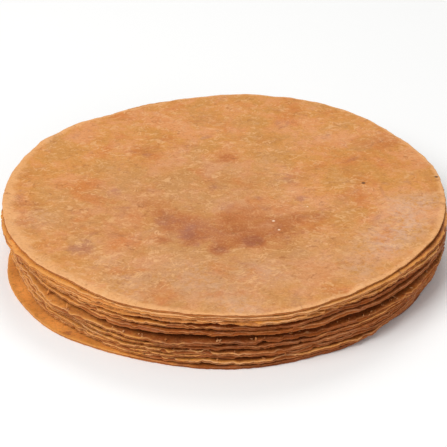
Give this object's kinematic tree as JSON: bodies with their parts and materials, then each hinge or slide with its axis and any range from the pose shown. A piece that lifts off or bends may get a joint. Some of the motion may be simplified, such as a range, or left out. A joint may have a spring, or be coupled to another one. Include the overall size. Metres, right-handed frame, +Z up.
{
  "type": "stack of khakhra",
  "caption": "Stack of thin, crisp, round roasted wheat flatbreads with ragged, slightly wavy rims, lying loosely one on another.",
  "frame": {"origin": "in the flat spot under the lowest bread, on the axis of the stack", "axes": "+Z up through the stack, -Y towards the viewer of the picture, +X to the viewer's right"},
  "size_m": [0.1812, 0.1828, 0.0235],
  "materials": {
    "roasted_wheat": "dry and matt, mottled toasting",
    "roasted_wheat_top": "dry with a faint oil sheen, mottled toasting"
  },
  "bodies": {
    "root": {"khakhra_01": "roasted_wheat", "khakhra_02": "roasted_wheat", "khakhra_03": "roasted_wheat", "khakhra_04": "roasted_wheat", "khakhra_05": "roasted_wheat", "khakhra_06": "roasted_wheat", "khakhra_07": "roasted_wheat", "khakhra_08": "roasted_wheat", "khakhra_09": "roasted_wheat", "khakhra_10": "roasted_wheat", "khakhra_11": "roasted_wheat_top"}
  },
  "joints": []
}
